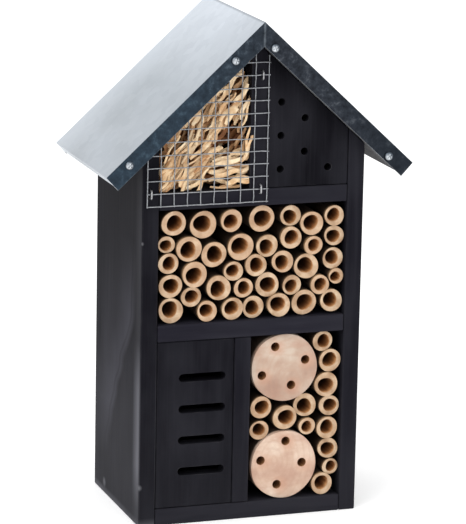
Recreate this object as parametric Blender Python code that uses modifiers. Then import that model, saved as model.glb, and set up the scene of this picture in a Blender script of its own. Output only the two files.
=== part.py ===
"""Insect hotel: a black stained wooden house with a folded sheet roof and five nesting chambers.

Metres, +Z up, +X to the right, the open front faces -Y.  The origin is the centre of the object's
bounding box on the plane that it stands on.  Sizes below are in millimetres and MM converts them.
"""
import math

import bmesh
import bpy
import numpy as np
from mathutils import Matrix, Vector

MM = 0.001

# Box
BOX_WIDTH = 136.0  # outside of one side board to the outside of the other
BOX_DEPTH = 91.0  # front edges to the rear face of the back board
LOWER_CHAMBER = 101.5  # clear height over the base board
MIDDLE_CHAMBER = 68.5  # clear height over the middle shelf
ATTIC_WALL = 33.1  # upper shelf to the roof boards, at the side boards' inner faces

# Roof
ROOF_PITCH = math.radians(42.7)
EAVE_OVERHANG = 25.5  # sheet past the side boards, level
FRONT_OVERHANG = 12.3  # roof in front of the box
REAR_OVERHANG = 1.6  # roof behind the box

# Boards and sheet
BOARD = 10.0  # side boards, shelves and dividers
BACK = 8.0  # back board
PANEL = 9.0  # slotted and drilled front panels
PANEL_RECESS = 0.5  # panel faces behind the shelf edges
ROOF_BOARD = 8.6
SHEET = 0.6  # galvanised roof sheet
FLANGE = 10.4  # folded edge of the sheet, square to the slope
REAR_FLANGE = 9.0  # narrower at the back, so that the flat back stays clear below it
EAVE_LIP = 7.0  # folded edge along the eaves, which leaves the roof boards' lower edge bare
GAP = 0.3  # between pieces that rest on each other
EDGE = 0.5  # worn edge on the boards
PAST = 1.0  # cutters run this far past a face

# Chambers side by side
LOG_CELL = 58.0  # width of the lower right chamber
DRILLED_CELL = 51.0  # width of the drilled panel's chamber in the attic

# Slotted panel
SLOTS = 4
SLOT_HEIGHT = 5.0
SLOT_PITCH = 19.0
SLOT_LEFT = 13.8  # side board to the slots
SLOT_RIGHT = 5.2  # slots to the divider
SLOT_LOWEST = 22.0  # base board to the middle of the lowest slot
END_STEPS = 6  # faces round each end of a slot

# Drilled panel: (column, row) of each hole on a staggered grid
HOLES = [(0, 0), (0, 2), (0, 4), (1, 1), (1, 3), (2, 0)]
HOLE = 4.6
HOLE_COLUMN = 14.7
HOLE_ROW = 9.9
HOLE_LEFT = 8.8
HOLE_LOWEST = 11.0

# Bamboo: (x, z, diameter) from the chamber's lower left corner.  A bundle of two tubes is glued.
CANE_CELL = (116.0, 68.5)  # chamber that the canes were sorted for
CANES = [
    [(10, 60, 15)], [(28, 58, 16.5)], [(45, 60, 13.5)], [(64, 60, 16)], [(95, 55, 14.5)],
    [(19.5, 44.5, 15.5)], [(35, 40, 15.5)], [(51, 44, 16)], [(77.5, 33.5, 13.5)],
    [(53.5, 19, 12)], [(31, 6.5, 12.5)],
    [(6, 47, 10.5), (7, 36, 12.5)], [(109, 60, 12.5), (109.5, 47, 12.5)],
    [(96, 42.5, 11.5), (92.5, 30, 15.5)], [(67.5, 43.5, 13.5), (61, 32, 13.5)],
    [(109, 34, 13), (111, 22.5, 9.5)], [(8.5, 22, 14.5), (9, 8, 15.5)],
    [(23, 29, 15.5), (21.5, 15.5, 12.5)], [(47, 29.5, 12), (38, 20, 15)],
    [(68, 20.5, 15), (75.5, 7.5, 14.5)], [(83.5, 19.5, 12), (92, 8, 15.5)],
    [(46, 7, 13.5), (60.5, 7, 13.5)], [(100.5, 19, 12), (109, 7.5, 14)],
    [(82, 61, 13), (82, 47.5, 13.5)],
]
LOWER_CELL = (58.0, 101.5)  # chamber that the logs and their canes were sorted for
LOG = 41.0  # diameter
LOGS = [[(22, 80.5, LOG)], [(22.5, 20.5, LOG)]]
LOG_CANES = [
    [(8, 57, 13.5)], [(7.5, 42.5, 12)], [(37, 43.5, 10.5)],
    [(46.5, 95, 12.5), (51, 83, 14)], [(49, 68.5, 15), (51.5, 55, 13)],
    [(50, 42, 13.5), (51, 28.5, 13)], [(52.5, 16.5, 10), (48, 7, 13.5)],
    [(36, 57, 14.5), (22.5, 49.5, 15)],
]
CANE_BORE = 0.6  # bore as a share of the cane's diameter
CANE_DRIFT = 0.04  # how far a bore sits off centre, as a share of the diameter
CANE_FRONT = 1.0  # foremost cane end behind the box's front
CANE_UNEVEN = 1.5  # rearmost cane end behind the foremost
CANE_GLUE = 0.4  # depth that glued canes share
CANE_SIDES = 18
BORE_SIDES = 14
SETTLE_ROUNDS = 4000
SETTLE_SHARE = 0.35  # of each overlap that a round moves a piece by

# Drilled log sections: holes as (x, z) from the middle of each log
LOG_HOLE = 5.4
LOG_HOLE_DEPTH = 60.0
LOG_RECESS = 2.0  # log faces behind the box's front
LOG_EDGE = 0.4
LOG_HOLES = [
    [(-6, 13), (13, 4), (-14, -4), (4.5, -11)],
    [(1, 14.5), (-14.5, 3.5), (11.5, 0.5), (-4, -12)],
]
LOG_SIDES = 40

# Wire mesh over the left attic chamber
WIRE = 0.9
WIRE_CROSSING = 0.7  # rails in front of the uprights, as a share of the wire
MESH_COLUMN = 8.0  # about this far from wire to wire; whole meshes fill the width
MESH_ROW = 7.45
MESH_SIDE_LAP = 7.3  # mesh over the side board
MESH_SHELF_LAP = 7.2  # mesh over the upper shelf
MESH_DIVIDER_LAP = 0.2  # mesh past the attic divider's right face
MESH_TRIM = 1.0  # wire ends below the roof boards
WIRE_END = 0.2  # wire past the outermost crossing

# Staples: name, nearest column, meshes to the right of it, row that it holds
STAPLES = [("lower_left", 0, 0.25, 1), ("lower_right", -1, -0.5, 1), ("upper_right", -1, -0.5, -2)]
STAPLE_WIDTH = 5.0
STAPLE_WIRE = 1.0
STAPLE_LEG = 8.0
STAPLE_BEND = 0.7

# Wood wool
WOOL_SLACK = 1.0
WOOL_RECESS = 3.0  # behind the box's front

# Roof screws: upper one from the ridge and lower one from the eave, along the slope
SCREW_FROM_RIDGE = {"left": 27.5, "right": 15.0}
SCREW_FROM_EAVE = 14.5
SCREW_SINK = {"left": 4.2, "right": 7.0}  # front screws below the sheet's top, square to the slope
REAR_SCREW_SINK = 4.5
SCREW_HEAD = 5.0
SCREW_HEAD_HEIGHT = 1.8
SCREW_SHANK = 2.6
SCREW_LENGTH = 12.0
SCREW_POINT = 2.0
SCREW_SLOT = 0.8  # width and depth of the driver's slot
SCREW_RIM = 0.3  # straight rim of the head, as a share of its height

# Worked out from the sizes above
TAN = math.tan(ROOF_PITCH)
SIN = math.sin(ROOF_PITCH)
COS = math.cos(ROOF_PITCH)
INSIDE = BOX_WIDTH / 2 - BOARD  # centre to the inner face of a side board
ROOF_HALF = BOX_WIDTH / 2 + EAVE_OVERHANG  # centre to an eave, over the sheet
MIDDLE_SHELF = BOARD + LOWER_CHAMBER  # underside of the middle shelf
UPPER_SHELF = MIDDLE_SHELF + BOARD + MIDDLE_CHAMBER  # underside of the upper shelf
ATTIC_FLOOR = UPPER_SHELF + BOARD
UNDERSIDE = ATTIC_FLOOR + ATTIC_WALL + INSIDE * TAN  # ridge of the space under the roof
HEIGHT = UNDERSIDE + (SHEET + GAP + ROOF_BOARD + GAP) / COS  # floor to the ridge of the sheet
ROOF_FRONT = -(FRONT_OVERHANG + BOX_DEPTH + REAR_OVERHANG) / 2
FRONT = ROOF_FRONT + FRONT_OVERHANG  # plane of the box's front edges
REAR = FRONT + BOX_DEPTH
ROOF_REAR = REAR + REAR_OVERHANG
BACK_FACE = REAR - BACK  # inner face of the back board
DIVIDER_RIGHT = INSIDE - LOG_CELL
DIVIDER_LEFT = DIVIDER_RIGHT - BOARD
ATTIC_RIGHT = INSIDE - DRILLED_CELL
ATTIC_LEFT = ATTIC_RIGHT - BOARD

WOOD = "black_stained_wood"
COLOURS = {
    WOOD: ((0.018, 0.018, 0.021), 0.55, 0.0),
    "galvanised_sheet": ((0.62, 0.66, 0.70), 0.38, 1.0),
    "zinc_wire": ((0.45, 0.46, 0.47), 0.40, 1.0),
    "zinc_screw": ((0.78, 0.78, 0.76), 0.28, 1.0),
    "bamboo": ((0.62, 0.42, 0.24), 0.60, 0.0),
    "pale_log": ((0.75, 0.55, 0.42), 0.65, 0.0),
    "wood_wool": ((0.72, 0.55, 0.34), 0.80, 0.0),
}


def clear_scene():
    for obj in list(bpy.data.objects):
        bpy.data.objects.remove(obj, do_unlink=True)


def new_collection(name):
    collection = bpy.data.collections.new(name)
    bpy.context.scene.collection.children.link(collection)
    return collection


def make_materials():
    materials = {}
    for name, (colour, roughness, metallic) in COLOURS.items():
        material = bpy.data.materials.new(name)
        material.use_nodes = True
        shader = material.node_tree.nodes["Principled BSDF"]
        shader.inputs["Base Color"].default_value = (*colour, 1.0)
        shader.inputs["Roughness"].default_value = roughness
        shader.inputs["Metallic"].default_value = metallic
        materials[name] = material
    return materials


def add(name, mesh, material, collection=None):
    obj = bpy.data.objects.new(name, mesh)
    (collection or PARTS).objects.link(obj)
    mesh.materials.clear()
    mesh.materials.append(MATERIALS[material])
    return obj


def as_cutter(obj):
    PARTS.objects.unlink(obj)
    CUTTERS.objects.link(obj)
    obj.hide_render = True
    obj.display_type = "WIRE"
    return obj


def evaluated_mesh(obj):
    """The object's mesh with its modifiers, in its own space."""
    bpy.context.view_layer.update()
    graph = bpy.context.evaluated_depsgraph_get()
    return bpy.data.meshes.new_from_object(obj.evaluated_get(graph))


def curve_to_mesh(obj, material):
    """Replaces a curve object with a closed mesh of the same name and place."""
    mesh = evaluated_mesh(obj)
    bm = bmesh.new()
    bm.from_mesh(mesh)
    bmesh.ops.remove_doubles(bm, verts=bm.verts, dist=1e-6)
    bmesh.ops.recalc_face_normals(bm, faces=bm.faces)
    bm.to_mesh(mesh)
    bm.free()
    name, place = obj.name, obj.matrix_world.copy()
    bpy.data.objects.remove(obj, do_unlink=True)
    solid = add(name, mesh, material)
    solid.matrix_world = place
    return solid


def boolean(target, other, operation="DIFFERENCE"):
    modifier = target.modifiers.new(operation.lower(), "BOOLEAN")
    modifier.operation = operation
    modifier.object = other
    modifier.solver = "EXACT"
    return modifier


def unite(target, other):
    """Joins a second solid into the target and removes it."""
    modifier = boolean(target, other, "UNION")
    mesh = evaluated_mesh(target)
    target.modifiers.remove(modifier)
    target.data = mesh
    bpy.data.objects.remove(other, do_unlink=True)


def bevel(obj, width=EDGE):
    modifier = obj.modifiers.new("worn_edge", "BEVEL")
    modifier.width = width * MM
    modifier.segments = 1
    modifier.limit_method = "ANGLE"
    modifier.angle_limit = math.radians(30)


def smooth(obj, angle=40):
    obj.data.shade_smooth()
    obj.data.set_sharp_from_angle(angle=math.radians(angle))


def box(name, left, right, front, rear, bottom, top, material=WOOD):
    """A board between two planes on each axis, in millimetres."""
    bm = bmesh.new()
    bmesh.ops.create_cube(bm, size=1.0)
    size = Vector((right - left, rear - front, top - bottom)) * MM
    bmesh.ops.transform(bm, matrix=Matrix.Diagonal((*size, 1.0)), verts=bm.verts)
    mesh = bpy.data.meshes.new(name)
    bm.to_mesh(mesh)
    bm.free()
    obj = add(name, mesh, material)
    obj.location = Vector((left + right, front + rear, bottom + top)) * MM / 2
    return obj


def plate(name, outline, front, rear, material=WOOD):
    """A flat outline in the XZ plane, in millimetres, with its thickness along Y."""
    curve = bpy.data.curves.new(name, "CURVE")
    curve.dimensions = "2D"
    curve.fill_mode = "BOTH"
    curve.extrude = (rear - front) / 2 * MM
    spline = curve.splines.new("POLY")
    spline.points.add(len(outline) - 1)
    for point, (x, z) in zip(spline.points, outline):
        point.co = (x * MM, z * MM, 0.0, 1.0)
    spline.use_cyclic_u = True
    obj = bpy.data.objects.new(name, curve)
    PARTS.objects.link(obj)
    obj.rotation_euler = (math.pi / 2, 0.0, 0.0)
    obj.location = (0.0, (front + rear) / 2 * MM, 0.0)
    return curve_to_mesh(obj, material)


def rod(name, x, z, diameter, front, rear, sides, material):
    """A round bar along Y."""
    bm = bmesh.new()
    radius = diameter / 2 * MM
    bmesh.ops.create_cone(
        bm, cap_ends=True, segments=sides, radius1=radius, radius2=radius, depth=(rear - front) * MM
    )
    bmesh.ops.rotate(bm, matrix=Matrix.Rotation(math.pi / 2, 3, "X"), verts=bm.verts)
    mesh = bpy.data.meshes.new(name)
    bm.to_mesh(mesh)
    bm.free()
    obj = add(name, mesh, material)
    obj.location = Vector((x, (front + rear) / 2, z)) * MM
    return obj


def rods_mesh(name, bars, sides, material):
    """Several separate bars along Y in one mesh: (x, z, diameter, front, rear) each."""
    bm = bmesh.new()
    for x, z, diameter, front, rear in bars:
        middle = Matrix.Translation(Vector((x, (front + rear) / 2, z)) * MM)
        radius = diameter / 2 * MM
        bmesh.ops.create_cone(
            bm, cap_ends=True, segments=sides, radius1=radius, radius2=radius,
            depth=(rear - front) * MM, matrix=middle @ Matrix.Rotation(math.pi / 2, 4, "X"),
        )
    mesh = bpy.data.meshes.new(name)
    bm.to_mesh(mesh)
    bm.free()
    return add(name, mesh, material)


def wires(name, lines, diameter, material, resolution):
    """Straight or bent wires as one curve object with filled ends, points in millimetres."""
    curve = bpy.data.curves.new(name, "CURVE")
    curve.dimensions = "3D"
    curve.bevel_depth = diameter / 2 * MM
    curve.bevel_resolution = resolution
    curve.use_fill_caps = True
    for line in lines:
        spline = curve.splines.new("POLY")
        spline.points.add(len(line) - 1)
        for point, place in zip(spline.points, line):
            point.co = (*(Vector(place) * MM), 1.0)
    obj = bpy.data.objects.new(name, curve)
    PARTS.objects.link(obj)
    return curve_to_mesh(obj, material)


def under_roof(x):
    """Height of the space under the roof boards, with its clearance."""
    return UNDERSIDE - abs(x) * TAN


def chevron(inset, depth):
    """Outline of a roof layer that starts an inset below the sheet's top, ends square to it."""
    apex = HEIGHT - inset / COS
    reach = ROOF_HALF - inset * (SIN + COS)
    right = [(reach, apex - reach * TAN)]
    right.append((reach - depth * SIN, apex - reach * TAN - depth * COS))
    left = [(-x, z) for x, z in reversed(right)]
    return [(0.0, apex), *right, (0.0, apex - depth / COS), *left]


def below_sheet(depth):
    """Outline of all that lies deeper than this under the sheet's top."""
    apex, far = HEIGHT - depth / COS, BOX_WIDTH
    return [(0.0, apex), (far, apex - far * TAN), (-far, apex - far * TAN)]


def make_box_boards():
    """Side boards, base, shelves and dividers; returns them by name."""
    boards = {}
    for name, side in (("side_board_left", -1), ("side_board_right", 1)):
        inner, outer = side * INSIDE, side * BOX_WIDTH / 2
        outline = [(inner, 0.0), (outer, 0.0), (outer, under_roof(outer)), (inner, under_roof(inner))]
        boards[name] = plate(name, outline, FRONT, REAR)
    span = INSIDE - GAP
    inner_rear = BACK_FACE - GAP
    levels = {"base_board": 0.0, "middle_shelf": MIDDLE_SHELF, "upper_shelf": UPPER_SHELF}
    for name, level in levels.items():
        boards[name] = box(name, -span, span, FRONT, inner_rear, level, level + BOARD)
    boards["lower_divider"] = box(
        "lower_divider", DIVIDER_LEFT, DIVIDER_RIGHT, FRONT, inner_rear, BOARD + GAP, MIDDLE_SHELF - GAP
    )
    left, right, floor = ATTIC_LEFT, ATTIC_RIGHT, ATTIC_FLOOR + GAP
    peak = [(0.0, under_roof(0.0))] if left < 0.0 < right else []
    outline = [(left, floor), (right, floor), (right, under_roof(right)), *peak, (left, under_roof(left))]
    boards["attic_divider"] = plate("attic_divider", outline, FRONT, inner_rear)
    outline = [(-span, 0.0), (span, 0.0), (span, under_roof(span)), (0.0, under_roof(0.0))]
    outline.append((-span, under_roof(span)))
    boards["back_board"] = plate("back_board", outline, BACK_FACE, REAR)
    for board in boards.values():
        bevel(board)
    return boards


def slot_heights():
    return [BOARD + SLOT_LOWEST + i * SLOT_PITCH for i in range(SLOTS)]


def make_slot_panel():
    left = -INSIDE + GAP
    face = FRONT + PANEL_RECESS
    bottom, top = BOARD + GAP, MIDDLE_SHELF - GAP
    panel = box("slot_panel", left, DIVIDER_LEFT - GAP, face, face + PANEL, bottom, top)
    bevel(panel)
    start, end = -INSIDE + SLOT_LEFT, DIVIDER_LEFT - SLOT_RIGHT
    radius = SLOT_HEIGHT / 2
    for i, middle in enumerate(slot_heights()):
        outline = []
        for centre, turn in ((end - radius, -90), (start + radius, 90)):
            for step in range(END_STEPS + 1):
                angle = math.radians(turn + step * 180 / END_STEPS)
                point = (centre + radius * math.cos(angle), middle + radius * math.sin(angle))
                outline.append(point)
        cutter = plate(f"slot_cutter_{i + 1}", outline, face - PAST, face + PANEL + PAST)
        boolean(panel, as_cutter(cutter))


def make_drilled_panel():
    left, right = ATTIC_RIGHT + GAP, INSIDE - GAP
    face = FRONT + PANEL_RECESS
    floor = ATTIC_FLOOR + GAP
    outline = [(left, floor), (right, floor), (right, under_roof(right)), (left, under_roof(left))]
    panel = plate("drilled_panel", outline, face, face + PANEL)
    bevel(panel)
    bars = []
    for column, row in HOLES:
        x = ATTIC_RIGHT + HOLE_LEFT + column * HOLE_COLUMN
        z = ATTIC_FLOOR + HOLE_LOWEST + row * HOLE_ROW
        bars.append((x, z, HOLE, face - PAST, face + PANEL + PAST))
    boolean(panel, as_cutter(rods_mesh("panel_hole_cutter", bars, BORE_SIDES, WOOD)))


def make_roof():
    """The folded sheet and the two boards under it."""
    sheet = plate("roof_sheet", chevron(0.0, FLANGE), ROOF_FRONT, ROOF_REAR, "galvanised_sheet")
    hollow = chevron(SHEET, FLANGE + 2 * SHEET)
    cutter = plate("sheet_cutter", hollow, ROOF_FRONT + SHEET, ROOF_REAR - SHEET, "galvanised_sheet")
    boolean(sheet, as_cutter(cutter))
    middle = ROOF_REAR - SHEET - PAST
    trims = [("lip", EAVE_LIP, ROOF_FRONT + SHEET + PAST, middle)]
    trims.append(("rear_flange", REAR_FLANGE, middle, ROOF_REAR + PAST))
    for name, depth, front, rear in trims:
        boolean(sheet, as_cutter(plate(f"{name}_cutter", below_sheet(depth), front, rear)))
    layer = chevron(SHEET + GAP, ROOF_BOARD)
    front, rear = ROOF_FRONT + SHEET + GAP, ROOF_REAR - SHEET - GAP
    mitre = GAP / 2
    boards = []
    for name, side in (("roof_board_left", -1), ("roof_board_right", 1)):
        top, eave, lower, bottom = layer[:4]
        outline = [(mitre, top[1] - mitre * TAN), eave, lower, (mitre, bottom[1] - mitre * TAN)]
        board = plate(name, [(side * x, z) for x, z in outline], front, rear)
        bevel(board)
        boards.append(board)
    return sheet, boards


def screw_places():
    """Name, x, z and facing (-1 front, 1 rear) of each roof screw."""
    places = []
    slope = ROOF_HALF / COS
    for end, facing in (("front", -1), ("rear", 1)):
        for side, sign in (("left", -1), ("right", 1)):
            downs = {"upper": SCREW_FROM_RIDGE[side], "lower": slope - SCREW_FROM_EAVE}
            sink = SCREW_SINK[side] if end == "front" else REAR_SCREW_SINK
            for level, down in downs.items():
                x = down * COS - sink * SIN
                z = HEIGHT - down * SIN - sink * COS
                places.append((f"roof_screw_{end}_{side}_{level}", sign * x, z, facing))
    return places


def screw_mesh():
    """A slotted pan head with its shank, along +Z from the head's seat at the origin."""
    radius, shank = SCREW_HEAD / 2, SCREW_SHANK / 2
    profile = [(0.0, SCREW_HEAD_HEIGHT)]
    for angle in (60, 30, 0):
        turn = math.radians(angle)
        rise = SCREW_RIM + (1.0 - SCREW_RIM) * math.sin(turn)
        profile.append((radius * math.cos(turn), SCREW_HEAD_HEIGHT * rise))
    profile += [(radius, 0.0), (shank, 0.0), (shank, SCREW_POINT - SCREW_LENGTH), (0.0, -SCREW_LENGTH)]
    mesh = bpy.data.meshes.new("screw_profile")
    edges = [(i, i + 1) for i in range(len(profile) - 1)]
    mesh.from_pydata([(x * MM, 0.0, z * MM) for x, z in profile], edges, [])
    obj = add("screw_turned", mesh, "zinc_screw")
    turned = obj.modifiers.new("turned", "SCREW")
    turned.steps = 16
    turned.render_steps = 16
    turned.use_merge_vertices = True
    turned.merge_threshold = 1e-5
    half, floor = SCREW_SLOT / 2, SCREW_HEAD_HEIGHT - SCREW_SLOT
    top = SCREW_HEAD_HEIGHT + PAST
    slot = box("screw_slot", -SCREW_HEAD, SCREW_HEAD, -half, half, floor, top, "zinc_screw")
    boolean(obj, slot)
    solid = evaluated_mesh(obj)
    for helper in (obj, slot):
        bpy.data.objects.remove(helper, do_unlink=True)
    return solid


def make_screws(sheet, boards):
    shared = screw_mesh()
    bars = []
    for name, x, z, facing in screw_places():
        seat = ROOF_FRONT - GAP if facing < 0 else ROOF_REAR + GAP
        screw = add(name, shared.copy(), "zinc_screw")
        screw.rotation_euler = (-facing * math.pi / 2, 0.0, 0.0)
        screw.location = Vector((x, seat, z)) * MM
        smooth(screw)
        inner = seat - facing * (SCREW_LENGTH + GAP)
        bars.append((x, z, SCREW_SHANK + 2 * GAP, min(seat, inner) - GAP, max(seat, inner) + GAP))
    holes = as_cutter(rods_mesh("screw_hole_cutter", bars, 12, WOOD))
    for piece in (sheet, *boards):
        boolean(piece, holes)


def mesh_grid():
    """Columns' x and rows' z of the wire mesh."""
    left, right = -INSIDE - MESH_SIDE_LAP, ATTIC_RIGHT + MESH_DIVIDER_LAP
    meshes = round((right - left) / MESH_COLUMN)
    columns = [left + (right - left) * i / meshes for i in range(meshes + 1)]
    lowest = ATTIC_FLOOR - MESH_SHELF_LAP
    highest = under_roof(right) - MESH_TRIM
    rows = [lowest + i * MESH_ROW for i in range(int((highest - lowest) / MESH_ROW) + 1)]
    return columns, rows


def make_wire_mesh():
    columns, rows = mesh_grid()
    behind = FRONT - GAP - WIRE / 2
    ahead = behind - WIRE * WIRE_CROSSING
    ends = WIRE / 2 + WIRE_END
    uprights = []
    for x in columns:
        top = under_roof(x) - MESH_TRIM
        uprights.append([(x, behind, rows[0] - ends), (x, behind, top)])
    rails = []
    for z in rows:
        start = max(columns[0] - ends, -(UNDERSIDE - MESH_TRIM - z) / TAN)
        rails.append([(start, ahead, z), (columns[-1] + ends, ahead, z)])
    mesh = wires("wire_mesh", uprights, WIRE, "zinc_wire", 1)
    unite(mesh, wires("mesh_rails", rails, WIRE, "zinc_wire", 1))


def make_staples(boards):
    columns, rows = mesh_grid()
    pitch = columns[1] - columns[0]
    crown = FRONT - GAP - WIRE * (1 + WIRE_CROSSING) - GAP - STAPLE_WIRE / 2
    tip = FRONT + STAPLE_LEG
    half = STAPLE_WIDTH / 2
    bars = []
    for name, column, aside, row in STAPLES:
        x, z = columns[column] + aside * pitch, rows[row]
        line = [(x, tip, z - half), (x, crown + STAPLE_BEND, z - half)]
        line.append((x, crown, z - half + STAPLE_BEND))
        line += [(px, py, 2 * z - pz) for px, py, pz in reversed(line)]
        staple = wires(f"mesh_staple_{name}", [line], STAPLE_WIRE, "zinc_wire", 2)
        smooth(staple, 60)
        for leg in (z - half, z + half):
            bars.append((x, leg, STAPLE_WIRE + 2 * GAP, FRONT - PAST, tip + 2 * GAP))
    holes = as_cutter(rods_mesh("staple_hole_cutter", bars, 10, WOOD))
    for name in ("side_board_left", "upper_shelf", "attic_divider"):
        boolean(boards[name], holes)


def make_wood_wool():
    """Plain solid of the shavings behind the wire mesh."""
    left, right = -INSIDE + WOOL_SLACK, ATTIC_LEFT - WOOL_SLACK
    floor = ATTIC_FLOOR + WOOL_SLACK
    outline = [(left, floor), (right, floor), (right, under_roof(right) - WOOL_SLACK)]
    outline.append((left, under_roof(left) - WOOL_SLACK))
    plate("wood_wool_filling", outline, FRONT + WOOL_RECESS, BACK_FACE - WOOL_SLACK, "wood_wool")


def settle(bundles, sorted_for, width, height):
    """Places round pieces in a chamber: none overlap, glued ones touch, all stay inside."""
    stretch = np.array([width / sorted_for[0], height / sorted_for[1]])
    scale = stretch.min()
    pieces = [piece for bundle in bundles for piece in bundle]
    places = np.array([piece[:2] for piece in pieces], dtype=float) * stretch
    radii = np.array([piece[2] for piece in pieces], dtype=float) * scale / 2
    apart = radii[:, None] + radii[None, :] + GAP
    glued = np.zeros(apart.shape, dtype=bool)
    first = 0
    for bundle in bundles:
        if len(bundle) == 2:
            glued[first, first + 1] = glued[first + 1, first] = True
        first += len(bundle)
    apart[glued] -= GAP + CANE_GLUE
    low = radii + GAP
    high = np.array([[width], [height]]) - low
    for _ in range(SETTLE_ROUNDS):
        offset = places[:, None, :] - places[None, :, :]
        distance = np.linalg.norm(offset, axis=2) + np.eye(len(pieces))
        short = apart - distance
        short[~glued] = np.maximum(short[~glued], 0.0)
        np.fill_diagonal(short, 0.0)
        step = (offset / distance[:, :, None] * short[:, :, None]).sum(axis=1)
        places += SETTLE_SHARE * step
        places[:, 0] = np.clip(places[:, 0], low, high[0])
        places[:, 1] = np.clip(places[:, 1], low, high[1])
    settled = []
    for index in range(len(pieces)):
        settled.append((places[index, 0], places[index, 1], 2 * radii[index]))
    return settled


def make_canes(bundles, settled, corner, prefix):
    """Bamboo tubes of one chamber; each bundle is one solid."""
    bores = []
    solids = []
    tubes = iter(enumerate(settled))
    rear = BACK_FACE - GAP
    for number, bundle in enumerate(bundles, 1):
        kind = "pair" if len(bundle) == 2 else "tube"
        name = f"{prefix}_bamboo_{kind}_{number:02d}"
        parts = []
        for _ in bundle:
            index, (x, z, diameter) = next(tubes)
            x, z = corner[0] + x, corner[1] + z
            front = FRONT + CANE_FRONT + CANE_UNEVEN * (0.5 + 0.5 * math.sin(2.4 * index))
            part = rod(f"{name}_{len(parts)}", x, z, diameter, front, rear, CANE_SIDES, "bamboo")
            parts.append(part)
            drift = CANE_DRIFT * diameter
            bore = (x + drift * math.cos(2.1 * index), z + drift * math.sin(2.1 * index))
            bores.append((*bore, CANE_BORE * diameter, FRONT - PAST, rear + PAST))
        for other in parts[1:]:
            unite(parts[0], other)
        parts[0].name = name
        solids.append(parts[0])
    cutter = as_cutter(rods_mesh(f"{prefix}_bore_cutter", bores, BORE_SIDES, "bamboo"))
    for solid in solids:
        boolean(solid, cutter)
        smooth(solid)


def make_logs(settled, corner):
    logs = []
    bars = []
    front, rear = FRONT + LOG_RECESS, BACK_FACE - GAP
    for name, holes, (x, z, diameter) in zip(("upper", "lower"), LOG_HOLES, settled):
        x, z = corner[0] + x, corner[1] + z
        log = rod(f"log_section_{name}", x, z, diameter, front, rear, LOG_SIDES, "pale_log")
        bevel(log, LOG_EDGE)
        share = diameter / LOG
        for across, up in holes:
            hole = (x + across * share, z + up * share, LOG_HOLE)
            bars.append((*hole, front - PAST, front + LOG_HOLE_DEPTH))
        logs.append(log)
    cutter = as_cutter(rods_mesh("log_hole_cutter", bars, BORE_SIDES, "pale_log"))
    for log in logs:
        boolean(log, cutter)


def make_nesting_chambers():
    corner = (-INSIDE, MIDDLE_SHELF + BOARD)
    size = (2 * INSIDE, UPPER_SHELF - MIDDLE_SHELF - BOARD)
    settled = settle(CANES, CANE_CELL, *size)
    make_canes(CANES, settled, corner, "middle")
    corner = (DIVIDER_RIGHT, BOARD)
    size = (LOG_CELL, MIDDLE_SHELF - BOARD)
    settled = settle(LOGS + LOG_CANES, LOWER_CELL, *size)
    make_logs(settled[: len(LOGS)], corner)
    make_canes(LOG_CANES, settled[len(LOGS):], corner, "lower")


clear_scene()
PARTS = new_collection("insect_hotel")
CUTTERS = new_collection("cutters")
MATERIALS = make_materials()

box_boards = make_box_boards()
make_slot_panel()
make_drilled_panel()
roof_sheet, roof_boards = make_roof()
make_screws(roof_sheet, roof_boards)
make_wire_mesh()
make_staples(box_boards)
make_wood_wool()
make_nesting_chambers()
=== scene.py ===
"""Looks for the insect hotel: materials, bamboo, logs, wood wool, wire and a studio round the frame."""
import math

import bmesh
import bpy
import numpy as np
from mathutils import Matrix, Vector


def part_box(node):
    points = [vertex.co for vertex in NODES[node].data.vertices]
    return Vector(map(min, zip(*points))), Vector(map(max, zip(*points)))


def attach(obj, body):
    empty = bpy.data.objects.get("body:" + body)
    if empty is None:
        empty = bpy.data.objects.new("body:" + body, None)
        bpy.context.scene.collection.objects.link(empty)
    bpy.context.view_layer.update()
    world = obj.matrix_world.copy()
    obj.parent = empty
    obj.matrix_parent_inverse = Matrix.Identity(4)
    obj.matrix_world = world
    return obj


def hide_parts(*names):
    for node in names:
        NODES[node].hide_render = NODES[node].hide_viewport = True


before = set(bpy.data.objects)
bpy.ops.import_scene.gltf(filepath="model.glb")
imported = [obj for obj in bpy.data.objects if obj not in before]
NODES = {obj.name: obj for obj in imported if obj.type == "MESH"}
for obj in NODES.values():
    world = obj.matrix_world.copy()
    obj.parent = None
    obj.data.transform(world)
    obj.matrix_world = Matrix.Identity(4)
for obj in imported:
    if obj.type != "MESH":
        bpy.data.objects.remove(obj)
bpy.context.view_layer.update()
MM = 0.001
RNG = np.random.default_rng(7)

# ---------------------------------------------------------------- places read from the frame


def span(name):
    """Lowest and highest corner of a CAD node as vectors."""
    low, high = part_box(name)
    return Vector(low), Vector(high)


SIDE_LOW, SIDE_HIGH = span("side_board_left")
BACK_LOW, BACK_HIGH = span("back_board")
INSIDE = -SIDE_HIGH.x
FRONT = SIDE_LOW.y  # the front edges of the boards; the front faces -Y
RIDGE_UNDER = BACK_HIGH.z
DIVIDER_LEFT = span("attic_divider")[0].x
SLOPE = (RIDGE_UNDER - SIDE_HIGH.z) / INSIDE


def under_roof(x):
    """Height of the roof's underside at a distance from the middle."""
    return RIDGE_UNDER - abs(x) * SLOPE


# ---------------------------------------------------------------- node helpers


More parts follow.
